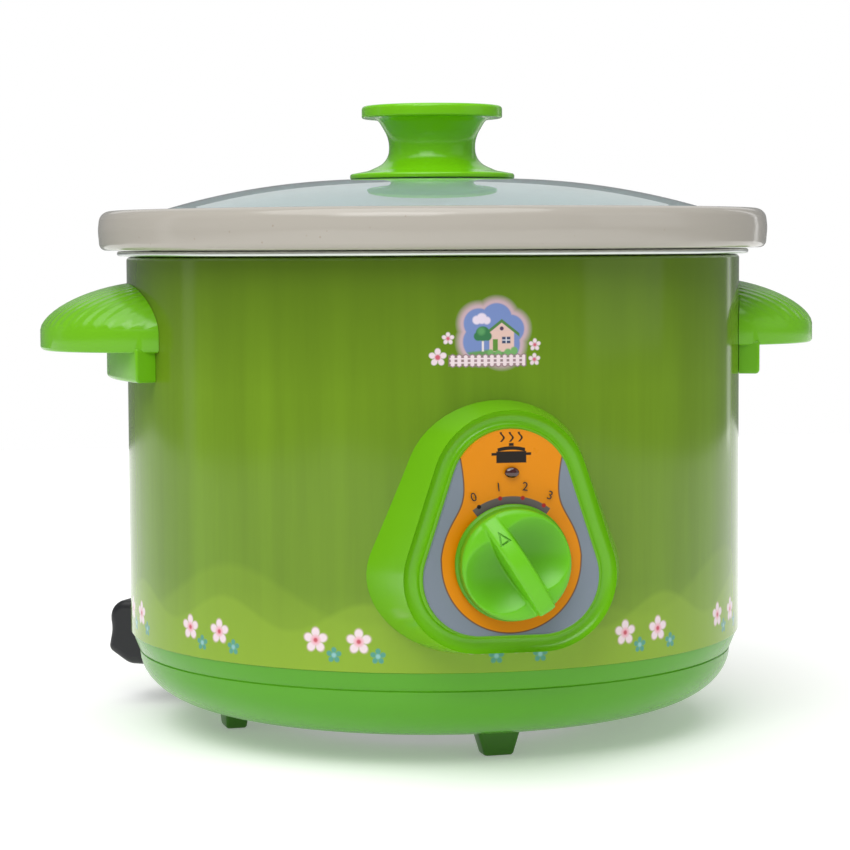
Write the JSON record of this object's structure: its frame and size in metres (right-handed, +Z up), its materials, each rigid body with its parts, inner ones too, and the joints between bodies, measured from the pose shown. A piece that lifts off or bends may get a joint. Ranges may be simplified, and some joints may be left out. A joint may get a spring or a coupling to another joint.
{
  "type": "slow cooker",
  "caption": "Round slow cooker with a green steel drum, lift-out glazed crock, domed glass lid, side handles and a front dial.",
  "frame": {"origin": "centre of the whole object's bounding box, on the surface that the feet stand on", "axes": "+Z up, -Y towards the control knob, +X to the right seen from the front"},
  "size_m": [0.2916, 0.2728, 0.2294],
  "materials": {
    "shell_paint": "glossy green enamel with a printed flower border, hills and a small cottage picture",
    "base_plastic": "glossy moulded green",
    "foot_plastic": "moulded green",
    "handle_plastic": "glossy moulded green with fine ridges",
    "housing_plastic": "glossy moulded green",
    "knob_plastic": "glossy moulded green",
    "lid_knob_plastic": "glossy moulded yellow green",
    "panel": "satin grey with orange and dark printing",
    "lens": "dark red, clear",
    "lamp_glass": "clear glass with an orange glow bar",
    "black_plastic": "satin black",
    "switch_plastic": "dark brown moulding",
    "crock_glaze": "glossy off-white glaze",
    "lid_glass": "clear, polished",
    "liner_metal": "bright rolled sheet",
    "sheet_steel": "zinc plated",
    "screw_steel": "zinc plated",
    "pin_brass": "bright",
    "heater_mica": "layered sheet",
    "insulation": "woven glass fibre",
    "thermostat_body": "moulded brown",
    "terminal_ceramic": "unglazed",
    "silicone": "soft white",
    "lead_brown": "silicone sleeve",
    "lead_blue": "silicone sleeve",
    "lead_green": "silicone sleeve",
    "lead_white": "glass-fibre sleeve",
    "lead_red": "silicone sleeve"
  },
  "bodies": {
    "base": {"outer_shell": "shell_paint", "base_bowl": "base_plastic", "bottom_cover": "sheet_steel", "heater_liner": "liner_metal", "cover_screw_1": "screw_steel", "cover_screw_2": "screw_steel", "cover_screw_3": "screw_steel", "foot_front": "foot_plastic", "foot_right": "foot_plastic", "foot_rear": "foot_plastic", "foot_left": "foot_plastic", "band_heater": "heater_mica", "insulation_sleeve": "insulation", "floor_heater": "heater_mica", "heater_plate": "sheet_steel", "tie_bolt": "screw_steel", "plate_nut": "screw_steel", "tie_washer": "screw_steel", "tie_nut": "screw_steel", "thermostat": "thermostat_body", "thermostat_clip": "sheet_steel", "thermal_fuse": "sheet_steel", "fuse_clamp": "sheet_steel", "terminal_block": "terminal_ceramic", "live_lead": "lead_brown", "neutral_lead": "lead_blue", "earth_lead": "lead_green", "heater_lead": "lead_white", "lamp_lead": "lead_red", "left_handle": "handle_plastic", "left_handle_screw_front": "screw_steel", "left_handle_screw_rear": "screw_steel", "right_handle": "handle_plastic", "right_handle_screw_front": "screw_steel", "right_handle_screw_rear": "screw_steel", "control_housing": "housing_plastic", "control_panel": "panel", "indicator_lens": "lens", "neon_lamp": "lamp_glass", "rotary_switch": "switch_plastic", "switch_nut": "screw_steel", "housing_screw_1": "screw_steel", "housing_screw_2": "screw_steel", "housing_screw_3": "screw_steel", "inlet_shroud": "black_plastic", "inlet_screw_1": "screw_steel", "inlet_screw_2": "screw_steel", "inlet_pin_live": "pin_brass", "inlet_pin_neutral": "pin_brass", "inlet_pin_earth": "pin_brass"},
    "knob": {"control_knob": "knob_plastic", "switch_shaft": "screw_steel"},
    "crock": {"crock": "crock_glaze"},
    "lid": {"lid_glass": "lid_glass", "lid_knob": "lid_knob_plastic", "lid_washer": "silicone", "lid_screw": "screw_steel"}
  },
  "joints": [
    {"name": "knob_turn", "type": "hinge", "parent": "base", "child": "knob", "pos_m": [0, -0.1214, 0.0744], "axis": [0, 1, 0], "range_deg": [0, 62]},
    {"name": "crock_lift", "type": "slide", "parent": "base", "child": "crock", "axis": [0, 0, 1], "range_m": [0, 0.14]},
    {"name": "lid_lift", "type": "slide", "parent": "crock", "child": "lid", "axis": [0, 0, 1], "range_m": [0, 0.06]}
  ]
}
